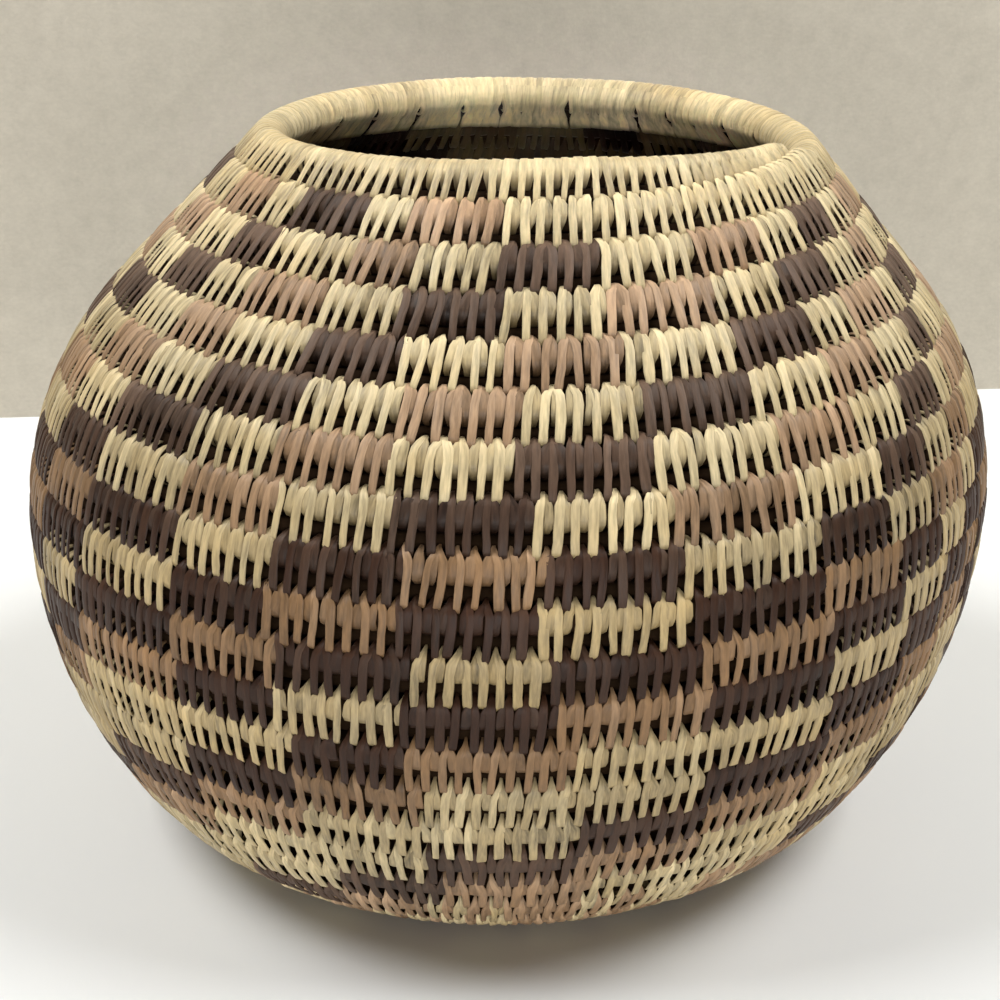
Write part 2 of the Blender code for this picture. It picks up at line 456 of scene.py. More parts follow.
def bundle_arc(degrees, squareness, rise):
    """Points on the wrapped bundle's outline, this far round from its crown.

    A squareness of 2 gives an ellipse, and more than that flattens the outer and inner faces.
    The crown stands this rise above the bundle.
    """
    turn = np.radians(np.array(degrees, float))
    reach = np.sign(np.cos(turn)) * np.abs(np.cos(turn)) ** (2 / squareness)
    depth = np.abs(np.sin(turn)) ** (2 / squareness)
    half_reach = np.where(reach > 0, BUNDLE_HALF_REACH + rise, BUNDLE_HALF_REACH)
    return np.stack([BUNDLE_REACH + half_reach * reach, BUNDLE_HALF_DEPTH * depth], -1)


class SplintPath:
    """A closed loop that splints follow round the coil.

    Each place on it has a reach and depth, a share of how far the foot strays along the coil, a
    share of how far the course above pushes the crown aside, a share of the full width, and how
    much painted shade it has, a negative value being a painted highlight. Shares of a shorter
    leg, of the rim's slits and of its closing follow from the place.
    """

    def __init__(self, outer, low, strays, pushes, widths, painted_shading):
        inner = outer[:0:-1] * np.array([1.0, -1.0])
        self.places = np.concatenate([outer, low, inner])
        self.strays = self.both_sides(strays)
        self.pushes = self.both_sides(pushes)
        self.widths = self.both_sides(widths)
        self.painted_shading = self.both_sides(painted_shading)
        # Every place on the inner side is painted in full shade
        self.painted_shading = np.where(self.places[:, 1] < 0, 1.0, self.painted_shading)
        self.drops = ramp(self.places[:, 0], *LEG_REACHES)
        self.slits = np.zeros(len(self.places))
        self.closing = np.zeros(len(self.places))
        steps = np.linalg.norm(np.roll(self.places, -1, axis=0) - self.places, axis=1)
        self.run = np.concatenate([[0.0], np.cumsum(steps)])

    @staticmethod
    def both_sides(values):
        """Values from the crown to the lowest place, repeated back up the inner side."""
        values = np.array(values, float)
        return np.concatenate([values, values[-2:0:-1]])


def short_path(squareness=BUNDLE_SQUARENESS, rise=TONGUE_RISE):
    """The wrap that stays on its own course."""
    return SplintPath(
        bundle_arc((0, 22, 42, 62, 78, 100, 125, 155), squareness, rise),
        bundle_arc((180,), squareness, rise),
        strays=(0.0, 0.0, 0.0, 0.0, 0.0, 0.2, 0.5, 1.0, 1.0),
        pushes=(1.0, 1.0, 0.88, 0.5, 0.12, 0.0, 0.0, 0.0, 0.0),
        widths=(0.24, 0.42, 0.68, 1.0, 1.18, 1.24, 1.18, 0.9, 0.7),
        # Painted highlight near the crown, painted shade deepening down into the recess below
        painted_shading=(-0.1, -0.25, -0.16, 0.02, 0.12, 0.22, 0.36, 0.74, 1.0),
    )


def long_path(squareness=BUNDLE_SQUARENESS, rise=TONGUE_RISE):
    """The stitch that reaches down through the crown of the course below."""
    leg = np.array([(-0.0024, 0.00456), (-0.0044, 0.00445), (-0.0062, 0.0043), (-0.0073, 0.0037)])
    outer = np.concatenate([bundle_arc((0, 22, 42, 62, 78, 95), squareness, rise), leg])
    return SplintPath(
        outer,
        np.array([(-0.0076, 0.0)]),
        strays=(0.0, 0.0, 0.0, 0.0, 0.0, 0.0, 0.3, 0.6, 0.85, 1.0, 1.0),
        pushes=(1.0, 1.0, 0.88, 0.5, 0.12, 0.0, 0.0, 0.0, 0.0, 0.0, 0.0),
        widths=(0.24, 0.40, 0.64, 0.92, 1.02, 1.02, 1.0, 0.98, 0.96, 0.9, 0.6),
        # Painted highlight near the crown, painted shade down the leg, deepest where it enters the
        # course below
        painted_shading=(-0.1, -0.25, -0.18, -0.04, 0.08, 0.16, 0.2, 0.2, 0.26, 0.5, 1.0),
    )


def rim_path(path, inner_width):
    """The same loop kept wide over the crown and down its inner side, where it shows."""
    reach, depth = path.places.T
    inner = depth < 0
    outer_top = ~inner & (reach > RIM_LEGS_BELOW)
    path.widths = np.where(outer_top | inner, RIM_WIDTH, path.widths)
    path.widths = np.where(inner & (reach < RIM_WIDE_BELOW), inner_width, path.widths)
    # The inner side gets painted light where it opens and painted shade where it tucks in; the top
    # gets a little painted shade, more towards the crown
    painted_light = RIM_PAINTED_LIGHT * ramp(reach, *RIM_OPENS)
    tucked = RIM_TUCKED_PAINTED_SHADE * ramp(reach, *RIM_TUCKS_IN)
    crown = RIM_CROWN_PAINTED_SHADE * ramp(reach, *RIM_CROWN)
    path.painted_shading = np.where(inner, RIM_INNER_PAINTED_SHADE - painted_light + tucked, path.painted_shading)
    path.painted_shading = np.where(outer_top, RIM_OUTER_PAINTED_SHADE + crown, path.painted_shading)
    path.slits = np.where(inner, ramp(reach, *RIM_SLITS_OPEN), 0.0)
    path.closing = np.where(inner | outer_top, 0.0, 1.0)
    path.pushes = 0.0 * path.pushes
    return path


# Corners across a splint: share of its width and of its thickness, from the outer face down,
# and how far each corner's normal leans sideways
ACROSS = np.array([-0.5, -0.41, 0.41, 0.5])
BELOW = np.array([1.0, 0.0, 0.0, 1.0])
LEAN = np.array([-1.8, -0.16, 0.16, 1.8])


def slow_waves(count, chance):
    """Random values that change slowly along the coil."""
    knots = scatter(chance, count // STITCHES_PER_LEAN + 2, SLOW_MOST)
    return np.interp(np.arange(count) / STITCHES_PER_LEAN, np.arange(len(knots)), knots)


class SplintSet:
    """Loops of splint that follow one path, with a start, colour and small ways of their own."""

    def __init__(self, path, turns, gap, chance, level, uneven, sizes):
        count = len(turns)
        self.path = path
        self.turns = turns
        self.stray = sizes.wander * scatter(chance, count, STRAY_MOST)
        self.stray += uneven * sizes.lean * slow_waves(count, chance)
        self.push = crown_push(turns, sizes)
        room = gap / 2 * 2 * math.pi * middle_line(turns * COURSE_RISE)[0]
        self.width = sizes.splint_width * room * (1 + WIDTH_SPREAD * scatter(chance, count))
        self.level = level + LEVEL_SPREAD * uneven * scatter(chance, count)
        self.roll = ROLL_SPREAD * uneven * scatter(chance, count)
        self.drop = sizes.foot_shortening * ramp(turns, *LEGS_SHORTER)
        self.drop += uneven * sizes.wander * scatter(chance, count)
        places = (count, len(path.places))
        self.sway = uneven * sizes.roughness * scatter(chance, places)
        self.swell = 1 + SWELL_SPREAD * scatter(chance, places)
        self.parted = slit_push(turns)
        angle = (np.degrees(bearing(turns)) + 180) % 360 - 180
        closed = ramp(angle, CLOSED_FROM, CLOSED_BY)
        self.closed = np.where(turns > TURNS - CLOSED_TURNS, closed, 0.0)
        self.thickness = sizes.splint_thickness
        self.tone = TONE_SPREAD * scatter(chance, count)
        self.hue = HUE_SPREAD * scatter(chance, count)
        self.offset = chance.uniform(0, GRAIN_SHIFT, size=count)
        self.colour = block_colours(turns, chance)

    def corners(self):
        """Corner points of every loop, and their normals, by loop, place and across the splint."""
        path = self.path
        turns = self.turns[:, None]
        radius = np.maximum(middle_line(turns * COURSE_RISE)[0], LEAST_RADIUS)
        aside = self.stray[:, None] * path.strays + self.sway
        turns = turns + aside / (2 * math.pi * radius)
        turns = turns + self.push[:, None] * path.pushes + self.parted[:, None] * path.slits
        places = path.places[:, 0] + self.drop[:, None] * path.drops
        reach, depth = thinned(turns, places, path.places[:, 1])
        middles, up_wall, outward = on_wall(turns, reach, depth)
        tangent = np.roll(middles, -1, axis=1) - np.roll(middles, 1, axis=1)
        course = np.roll(path.places, -1, axis=0) - np.roll(path.places, 1, axis=0)
        course = course / np.linalg.norm(course, axis=1)[:, None]
        face = course[:, 1, None] * up_wall - course[:, 0, None] * outward
        side = np.cross(tangent, face)
        side = side / np.linalg.norm(side, axis=-1)[..., None]
        middles = middles + self.level[:, None, None] * face
        widths = path.widths + CLOSED_WIDTH * self.closed[:, None] * path.closing
        width = (self.width[:, None] * widths * self.swell)[..., None, None]
        roll = self.roll[:, None, None]
        side, face = side + roll * face, face - roll * side
        side, face = side[:, :, None], face[:, :, None]
        across = width * ACROSS[:, None] * side
        normals = face + LEAN[:, None] * side
        normals = normals / np.linalg.norm(normals, axis=-1)[..., None]
        points = middles[:, :, None] + across - self.thickness * BELOW[:, None] * face
        return points.reshape(-1, 3), normals.reshape(-1, 3)

    def faces(self, start):
        """Four-cornered faces round every loop, their corners numbered from start."""
        places, across = len(self.path.places), len(ACROSS)
        place = np.arange(places)[:, None]
        edge = np.arange(across - 1)
        here = place * across + edge
        there = (place + 1) % places * across + edge
        quad = np.stack([here, here + 1, there + 1, there], -1).reshape(-1, 4)
        loop = start + np.arange(len(self.turns))[:, None, None] * places * across
        return (loop + quad).reshape(-1, 4)

    def looks(self):
        """Tone, share of the lower colours, and painted shade or highlight, at every corner point."""
        lower_share = ramp(self.turns, *TO_LOWER_COLOURS) - PALER_SHARE * ramp(self.turns, *BACK_TO_PALER)
        look = np.empty((len(self.turns), len(self.path.places), len(ACROSS), 3))
        look[..., 0] = self.tone[:, None, None]
        look[..., 1] = np.clip(lower_share + self.hue, 0.0, 1.0)[:, None, None]
        look[..., 2] = self.path.painted_shading[None, :, None]
        return look.reshape(-1, 3)

    def maps(self, done, columns):
        """Places of all face corners on the baking map, and on the grain's map in millimetres."""
        edge = np.arange(len(ACROSS) - 1)
        run = self.path.run
        along = np.stack([run[:-1], run[:-1], run[1:], run[1:]], -1)
        sideways = np.stack([edge, edge + 1, edge + 1, edge], -1) / len(edge)
        along, sideways = np.broadcast_arrays(along[:, None], sideways[None])
        cell = (done + np.arange(len(self.turns)))[:, None, None, None]
        left = cell % columns + SIDE_MARGIN + (1 - 2 * SIDE_MARGIN) * sideways
        low = cell // columns + END_MARGIN + (1 - 2 * END_MARGIN) * along / run[-1]
        across = (sideways - 0.5) * (self.width * MILLIMETRES)[:, None, None, None]
        grown = along * MILLIMETRES + self.offset[:, None, None, None]
        bake = np.stack([left / columns, low / BAKE_ROWS], -1)
        return bake.reshape(-1, 2), np.stack([across, grown], -1).reshape(-1, 2)


def pair_count(sizes):
    """How many pairs of stitches have been sewn, against turns along the coil."""
    turns = np.linspace(0.0, TURNS, TURNS * COUNTS_PER_TURN)
    radius = middle_line(turns * COURSE_RISE)[0]
    onto_rim = ramp(turns, *RIM_SPACED)
    spacing = sizes.pair_spacing + onto_rim * (sizes.rim_spacing - sizes.pair_spacing)
    density = np.minimum(2 * math.pi * radius / spacing, BELLY_PAIRS)
    tight = ramp(turns, *TIGHTER)
    density = density + tight * (2 * math.pi * radius / sizes.foot_spacing - density)
    steps = np.diff(turns) * (density[1:] + density[:-1]) / 2
    return turns, np.concatenate([[0.0], np.cumsum(steps)])


def pair_turns(sizes):
    """Where along the coil each long stitch starts, in turns."""
    turns, count = pair_count(sizes)
    return np.interp(np.arange(1, math.floor(count[-1])), count, turns)


def crown_push(turns, sizes):
    """How far, in turns, the long stitches of the course above push these crowns together."""
    turn_list, counts = pair_count(sizes)
    above = np.interp(turns + 1, turn_list, counts)
    density = np.interp(turns + 1, turn_list, np.gradient(counts, turn_list))
    from_tongue = above % 1.0 - 0.5
    pushed = -TONGUE_DRAW * from_tongue / np.maximum(density, 1.0)
    return np.where(turns + 1 < TURNS, pushed, 0.0)


def slit_push(turns):
    """How far, in turns, the rim's wraps are pushed aside at the slits on its inner side."""
    off = np.degrees(bearing(turns))[:, None] - np.array(SLIT_BEARINGS)
    off = (off + 180) % 360 - 180
    nearest = off[np.arange(len(turns)), np.abs(off).argmin(axis=1)]
    around = 2 * math.pi * middle_line(turns * COURSE_RISE)[0]
    away = nearest / 360 * around
    pushed = np.sign(away) * SLIT_HALF * ramp(np.abs(away), SLIT_REACH, 0.0)
    return pushed / around


def block_edges(course):
    """Bearings of the block edges from the first column round to itself, on this course."""
    off = course - DRIFT_COURSE
    drifts = np.where(off < 0, DRIFT_ABOVE, DRIFT_BELOW)
    front = np.array(BLOCK_EDGES) + drifts * off
    unseen = COLUMNS - len(front) + 1
    back = np.linspace(front[-1], front[0] + 360, unseen + 1)[1:]
    return np.concatenate([front, back])


def block_colours(turns, chance):
    """The colour of each stitch. Every course repeats the one above, moved one block left."""
    first = TURNS - TIP_BEARING / 360
    degrees = np.degrees(bearing(turns))
    degrees = (degrees - BLOCK_EDGES[0]) % 360 + BLOCK_EDGES[0]
    courses = np.rint(first + degrees / 360 - turns).astype(int)
    below_rim = first - turns
    mixed = np.where(chance.random(len(turns)) < CREAM_AT_FOOT, CREAM, TAN)
    colours = np.zeros(len(turns), int)
    for i, (course, angle, below) in enumerate(zip(courses, degrees, below_rim)):
        column = FIRST_COLUMN + np.searchsorted(block_edges(course), angle, side="right") - 1
        kind = (column + course) % len(UPPER_BLOCKS)
        patterned = below < BLOCKS_DOWN_TO or (course == LAST_COURSE and angle < LAST_EDGE)
        if below < PLAIN_ABOVE:
            colours[i] = CREAM
        elif below < UPPER_DOWN_TO:
            colours[i] = UPPER_BLOCKS[kind]
        elif below < LOWER_DOWN_TO:
            colours[i] = LOWER_BLOCKS[kind]
        elif patterned:
            colours[i] = FOOT_BLOCKS[kind]
        else:
            colours[i] = mixed[i]
    return colours


def add_object(name, data):
    """An object in the scene that holds this mesh, lamp or camera."""
    made = bpy.data.objects.new(name, data)
    bpy.context.scene.collection.objects.link(made)
    return made


def new_piece(name, points, faces, materials):
    """A smooth mesh object from points and four-cornered faces."""
    mesh = bpy.data.meshes.new(name)
    mesh.vertices.add(len(points))
    mesh.vertices.foreach_set("co", np.ascontiguousarray(points, np.float32).ravel())
    mesh.loops.add(faces.size)
    mesh.loops.foreach_set("vertex_index", np.ascontiguousarray(faces, np.int32).ravel())
    mesh.polygons.add(len(faces))
    mesh.polygons.foreach_set("loop_start", np.arange(0, faces.size, 4, dtype=np.int32))
    mesh.update(calc_edges=True)
    mesh.shade_smooth()
    for material in materials:
        mesh.materials.append(material)
    return add_object(name, mesh)


def add_uv(mesh, name, values):
    """A UV map from one pair of values for each face corner."""
    layer = mesh.uv_layers.new(name=name)
    layer.uv.foreach_set("vector", np.ascontiguousarray(values, np.float32).ravel())


def sew(name, sets, node):
    """Makes one piece of all the splint loops of a course."""
    columns = math.ceil(sum(len(splints.turns) for splints in sets) / BAKE_ROWS)
    parts = []
    start = done = 0
    for splints in sets:
        points, normals = splints.corners()
        faces = splints.faces(start)
        colours = np.repeat(splints.colour, len(faces) // len(splints.turns))
        parts.append((points, normals, faces, colours, splints.looks(), *splints.maps(done, columns)))
        start += len(points)
        done += len(splints.turns)
    points, normals, faces, colours, looks, bake, grain = map(np.concatenate, zip(*parts))
    piece = new_piece(name, points, faces, splint_materials())
    mesh = piece.data
    mesh.polygons.foreach_set("material_index", colours.astype(np.int32))
    look = mesh.attributes.new("splint", "FLOAT_VECTOR", "POINT")
    look.data.foreach_set("vector", looks.astype(np.float32).ravel())
    add_uv(mesh, "OFBake", bake)
    add_uv(mesh, "grain", grain)
    mesh.normals_split_custom_set_from_vertices(normals)
    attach(piece, "root")
    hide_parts(node)


def sew_course(name, first, node, rim=False):
    """Sews one turn of the coil, from this turn on."""
    sizes = bpy.context.scene.coil_sizes
    chance = np.random.default_rng(SEED + SEED_STEP * first)
    pairs = pair_turns(sizes)
    gap = np.gradient(pairs)
    mine = (pairs >= first) & (pairs < first + 1)
    pairs, gap = pairs[mine], gap[mine]
    stray = START_SPREAD * gap
    long_turns = pairs + stray * scatter(chance, len(pairs))
    short_turns = pairs + gap / 2 + stray * scatter(chance, len(pairs))
    paths = short_path(), long_path()
    uneven, low = 1.0, SHORT_LEVEL
    if rim:
        kinds = zip((short_path, long_path), RIM_SQUARENESSES, RIM_INNER_WIDTHS)
        paths = [rim_path(path(squareness, 0.0), width) for path, squareness, width in kinds]
        uneven, low = RIM_UNEVENNESS, RIM_SHORT_LEVEL
    short = SplintSet(paths[0], short_turns, gap, chance, low, uneven, sizes)
    long = SplintSet(paths[1], long_turns, gap, chance, 0.0, uneven, sizes)
    lengths = scatter(chance, len(pairs) // STITCHES_PER_SPLINT + 2, SLOW_MOST)
    for splints in (short, long):
        splints.tone += SPLINT_TONE_SPREAD * lengths[np.arange(len(pairs)) // STITCHES_PER_SPLINT]
    # Off the rim, short wraps get painted shade and long stitches a painted highlight
    if not rim:
        short.tone += SHORT_PAINTED_SHADE
        long.tone += LONG_PAINTED_HIGHLIGHT
    short.colour = long.colour
    sew(name, (short, long), node)


def tube(turns, outline, start):
    """Points and faces of a tube along the coil, with closed ends, numbered from start."""
    reach, depth = thinned(turns[:, None], outline[:, 0], outline[:, 1])
    reach = np.maximum(reach, AXIS_GAP - COURSE_RISE * turns[:, None])
    points = on_wall(turns[:, None], reach, depth)[0]
    rings, sides = points.shape[:2]
    side = np.arange(sides)
    here = np.arange(rings - 1)[:, None] * sides + side
    after = np.arange(rings - 1)[:, None] * sides + (side + 1) % sides
    walls = np.stack([here, after, after + sides, here + sides], -1).reshape(-1, 4)
    half = sides // 2
    caps = [(k, k + 1, sides - 2 - k, sides - 1 - k) for k in range(half - 1)]
    near = np.array(caps)[:, ::-1]
    far = np.array(caps) + (rings - 1) * sides
    faces = np.concatenate([walls, near, far])[:, ::-1]
    return points.reshape(-1, 3), faces + start


class Value:
    """A node's socket, on which Python's arithmetic adds Math nodes."""

    def __init__(self, shader, socket):
        self.shader = shader
        self.socket = socket

    def math(self, operation, *values):
        """A Math node on these values."""
        inputs = dict(enumerate(values))
        return self.shader.node("ShaderNodeMath", {"operation": operation}, inputs)

    def __add__(self, other):
        return self.math("ADD", self, other)

    def __radd__(self, other):
        return self.math("ADD", other, self)

    def __sub__(self, other):
        return self.math("SUBTRACT", self, other)

    def __rsub__(self, other):
        return self.math("SUBTRACT", other, self)

    def __mul__(self, other):
        return self.math("MULTIPLY", self, other)

    def __rmul__(self, other):
        return self.math("MULTIPLY", other, self)

    def __pow__(self, other):
        return self.math("POWER", self, other)

    def __abs__(self):
        return self.math("ABSOLUTE", self)

    def clamped(self):
        """Held between 0 and 1."""
        return self.math("MINIMUM", self.math("MAXIMUM", self, 0.0), 1.0)


class Shader:
    """The nodes of a material or a world, each made by one method."""

    def __init__(self, name, kinds=None):
        self.owner = (bpy.data.materials if kinds is None else kinds).new(name)
        self.owner.use_nodes = True
        self.tree = self.owner.node_tree
        self.tree.nodes.clear()

    def node(self, kind, settings=None, inputs=None, output=0):
        """Adds a node, sets it up, links or fills its sockets, and gives one of its outputs."""
        made = self.tree.nodes.new(kind)
        for key, value in (settings or {}).items():
            setattr(made, key, value)
        for key, value in (inputs or {}).items():
            if isinstance(value, Value):
                self.tree.links.new(value.socket, made.inputs[key])
            else:
                made.inputs[key].default_value = value
        return Value(self, made.outputs[output])

    def place(self):
        """Where a point is on its own object."""
        return self.node("ShaderNodeTexCoord", output="Object")

    def part(self, vector, number):
        """One of a vector's three numbers."""
        return self.node("ShaderNodeSeparateXYZ", {}, {0: vector}, output=number)

    def mix(self, share, first, second):
        """Mixes two colours by a share."""
        inputs = {0: share, 6: first, 7: second}
        return self.node("ShaderNodeMix", {"data_type": "RGBA"}, inputs, output=2)

    def scaled(self, vector, by):
        """A vector or colour times three numbers, or times one value."""
        if isinstance(by, tuple):
            return self.node("ShaderNodeVectorMath", {"operation": "MULTIPLY"}, {0: vector, 1: by})
        return self.node("ShaderNodeVectorMath", {"operation": "SCALE"}, {0: vector, "Scale": by})

    def noise(self, vector, scale, detail=2.0, roughness=0.5):
        """Soft noise from 0 to 1."""
        inputs = {"Vector": vector, "Scale": scale, "Detail": detail, "Roughness": roughness}
        return self.node("ShaderNodeTexNoise", {}, inputs)

    def bump(self, height, strength, distance):
        """A normal from a height."""
        inputs = {"Height": height, "Strength": strength, "Distance": distance}
        return self.node("ShaderNodeBump", {}, inputs)

    def surface(self, colour, roughness, shine, normal=None, clear_where=None):
        """Ends the material in one Principled surface, clear where that is wanted."""
        inputs = {"Base Color": colour, "Roughness": roughness, "Specular IOR Level": shine}
        if normal is not None:
            inputs["Normal"] = normal
        skin = self.node("ShaderNodeBsdfPrincipled", {}, inputs)
        if clear_where is not None:
            clear = self.node("ShaderNodeBsdfTransparent")
            skin = self.node("ShaderNodeMixShader", {}, {0: clear_where, 1: skin, 2: clear})
        return self.end("ShaderNodeOutputMaterial", skin)

    def end(self, kind, last):
        """Links the last shader to the output, and gives the material or world."""
        output = self.tree.nodes.new(kind)
        self.tree.links.new(last.socket, output.inputs["Surface"])
        return self.owner


def opaque(colour):
    """A colour with its alpha."""
    return (*colour, 1.0)


def swing(noise, share):
    """How far noise, which runs from 0 to 1, takes a value up or down."""
    return share * (noise - 0.5)


# Fibre: how its noise is stretched across and along a splint, and the scales of its blotches and
# patches
STREAK_STRETCH = (1.7, 0.11, 1.0)
FIBRE_STRETCH = (3.8, 0.22, 1.0)
BLOTCH_SCALE = 110.0
PATCH_SCALE = 16.0

# How much lighter or darker a splint is made by each of these
TONE_LIGHT = 0.15
STREAK_LIGHT = 1.0
FIBRE_LIGHT = 0.8
BLOTCH_LIGHT = 0.5
PATCH_LIGHT = 0.4
# Painted shade, a painted highlight where it is negative, and painted shade in the grooves at the
# splints' edges
PAINTED_SHADING_STRENGTH = 0.84
EDGE_PAINTED_SHADE = 0.28
DARK_STREAK_SHADE = 0.3

# How steeply the painted shade at the edges rises, by millimetre and as a power, and from where
# and how steeply single streaks darken
EDGE_RISE = 1.25
EDGE_POWER = 4.0
DARK_STREAK_FROM = 0.61
DARK_STREAK_RISE = 6.0

# Stain: how much of it there is, from which noise it begins, how much the painted shade adds, its
# colour then standing for shade, and how much bright splints take away
STAIN = 1.1
STAIN_FROM = 0.9
PAINTED_SHADING_STAIN = 0.9
BRIGHT_STAIN = 0.08

# The fibre's surface: its roughness, and how high fibres stand beside streaks
STREAK_ROUGHNESS = 0.3
BLOTCH_ROUGHNESS = 0.15
FIBRE_HEIGHT = 0.6


def splint_material(name, upper, lower, stain_and_shade, roughness, shine):
    """Split plant fibre: streaks along it, painted shade at its edges and where it is tucked in, a
    painted highlight on its crown.
    """
    shader = Shader(name)
    look = shader.node("ShaderNodeAttribute", {"attribute_name": "splint"}, output="Vector")
    tone, lower_share, painted_shading = (shader.part(look, number) for number in range(3))
    grain = shader.node("ShaderNodeUVMap", {"uv_map": "grain"})
    place = shader.place()
    streaks = shader.noise(shader.scaled(grain, STREAK_STRETCH), 1.0, detail=3.0, roughness=0.65)
    fibres = shader.noise(shader.scaled(grain, FIBRE_STRETCH), 1.0, detail=3.0)
    blotches = shader.noise(place, BLOTCH_SCALE, detail=3.0, roughness=0.6)
    patches = shader.noise(place, PATCH_SCALE)
    # Painted shade in the grooves between neighbouring splints, rising towards each edge
    edge = (abs(shader.part(grain, 0)) * EDGE_RISE).clamped() ** EDGE_POWER
    dark_streak = (DARK_STREAK_RISE * (streaks - DARK_STREAK_FROM)).clamped()
    bright = 1.0 + TONE_LIGHT * tone + swing(streaks, STREAK_LIGHT) + swing(fibres, FIBRE_LIGHT)
    bright = bright + swing(blotches, BLOTCH_LIGHT) + swing(patches, PATCH_LIGHT)
    # Painted shade where a place is tucked in and at the edges, a painted highlight on the crowns
    bright = bright * (1.0 - PAINTED_SHADING_STRENGTH * painted_shading) * (1.0 - EDGE_PAINTED_SHADE * edge)
    bright = bright * (1.0 - DARK_STREAK_SHADE * dark_streak)
    colour = shader.mix(lower_share, opaque(upper), opaque(lower))
    # Real stain from the noises, and painted shade that mixes in the same colour where places are
    # tucked in
    stained_and_shaded = STAIN * (patches + blotches - STAIN_FROM) + PAINTED_SHADING_STAIN * painted_shading - BRIGHT_STAIN * tone
    colour = shader.mix(stained_and_shaded.clamped(), colour, opaque(stain_and_shade))
    uneven = roughness + swing(streaks, STREAK_ROUGHNESS) + swing(blotches, BLOTCH_ROUGHNESS)
    height = streaks + FIBRE_HEIGHT * fibres
    relief = shader.bump(height, strength=0.5, distance=0.00022)
    return shader.surface(shader.scaled(colour, bright), uneven, shine, relief)


# Stain colour, also used as painted shade, and roughness and shine of the cream, tan and dark splints
SPLINT_FINISHES = (
    ((0.44, 0.31, 0.13), 0.5, 0.35),
    ((0.24, 0.13, 0.055), 0.52, 0.3),
    ((0.035, 0.014, 0.007), 0.5, 0.2),
)


def splint_materials():
    """The cream, tan and dark splint materials, made once."""
    names = ("splint_cream", "splint_tan", "splint_dark")
    if names[0] not in bpy.data.materials:
        colours = bpy.context.scene.splint_colours
        uppers = (colours.cream_upper, colours.tan_upper, colours.dark_upper)
        lowers = (colours.cream_lower, colours.tan_lower, colours.dark_lower)
        for name, upper, lower, finish in zip(names, uppers, lowers, SPLINT_FINISHES):
            splint_material(name, upper, lower, *finish)
    return [bpy.data.materials[name] for name in names]


# Bark: scales of its mottle and its patches, how dark it gets, and how much paler patches are
MOTTLE_SCALE = 260.0
BARK_PATCH_SCALE = 60.0
BARK_DARKEST = 0.5
PALE_BARK = 2.2


def rod_material(colour):
    """Dry brown rods with mottled, patchy bark, their colour darkened near black as painted shade in
    the gaps.
    """
    shader = Shader("rod_bark")
    place = shader.place()
    mottle = shader.noise(place, MOTTLE_SCALE, detail=4.0, roughness=0.6)
    patches = shader.noise(place, BARK_PATCH_SCALE)
    tint = shader.mix(patches, opaque(colour), opaque(tuple(PALE_BARK * part for part in colour)))
    bark = shader.scaled(tint, BARK_DARKEST + mottle)
    relief = shader.bump(mottle, strength=0.5, distance=0.0003)
    return shader.surface(bark, roughness=0.9, shine=0.05, normal=relief)


# The table top: the scale of its unevenness, how dull it gets and by how much it varies
PAINT_SCALE = 3.0
PAINT_DULLEST = 0.97
PAINT_VARIES = 0.06


def floor_material(colour):
    """A white painted table top, barely uneven."""
    shader = Shader("table_top")
    soft = shader.noise(shader.place(), PAINT_SCALE)
    paint = shader.scaled(tuple(colour), PAINT_DULLEST + PAINT_VARIES * soft)
    return shader.surface(paint, roughness=0.6, shine=0.3)


# The cloth: how its weave and creases are stretched, the scales of its noises, how dull it gets,
# and by how much each varies its colour or its height
WEAVE_STRETCH = (1.0, 1.0, 1.6)
CREASE_STRETCH = (1.0, 1.0, 0.5)
WEAVE_SCALE = 500.0
FLECK_SCALE = 130.0
SHADE_SCALE = 14.0
CREASE_SCALE = 11.0
CLOTH_DULLEST = 0.70
WEAVE_VARIES = 0.16
FLECK_VARIES = 0.28
SHADE_VARIES = 0.16
FLECK_HEIGHT = 0.06


def cloth_material(colour):
    """A beige cloth with a fine weave and soft creases, which hides nothing seen from behind."""
    shader = Shader("cloth_behind")
    place = shader.place()
    weave = shader.noise(shader.scaled(place, WEAVE_STRETCH), WEAVE_SCALE)
    fleck = shader.noise(place, FLECK_SCALE, detail=4.0, roughness=0.7)
    shades = shader.noise(place, SHADE_SCALE, detail=3.0)
    creases = shader.noise(shader.scaled(place, CREASE_STRETCH), CREASE_SCALE, detail=4.0)
    bright = CLOTH_DULLEST + WEAVE_VARIES * weave + FLECK_VARIES * fleck + SHADE_VARIES * shades
    behind = shader.node("ShaderNodeNewGeometry", output="Backfacing")
    seen = shader.node("ShaderNodeLightPath", output="Is Camera Ray")
    cloth = shader.scaled(tuple(colour), bright)
    relief = shader.bump(creases + FLECK_HEIGHT * fleck, strength=0.6, distance=0.012)
    clear = behind * seen
    return shader.surface(cloth, roughness=0.95, shine=0.1, normal=relief, clear_where=clear)


# The room: its cool, dim light, and how it looks past the table
ROOM_LIGHT = (0.97, 0.98, 1.0)
ROOM_SEEN = (0.60, 0.58, 0.53)


def room(strength):
    """A dim, even room, seen past the table as a pale wall."""
    shader = Shader("soft_room", bpy.data.worlds)
    seen = shader.node("ShaderNodeLightPath", output="Is Camera Ray")
    dim = {"Color": opaque(ROOM_LIGHT), "Strength": strength}
    pale = {"Color": opaque(ROOM_SEEN), "Strength": 1.0}
    skies = [shader.node("ShaderNodeBackground", {}, light) for light in (dim, pale)]
    both = shader.node("ShaderNodeMixShader", {}, {0: seen, 1: skies[0], 2: skies[1]})
    return shader.end("ShaderNodeOutputWorld", both)


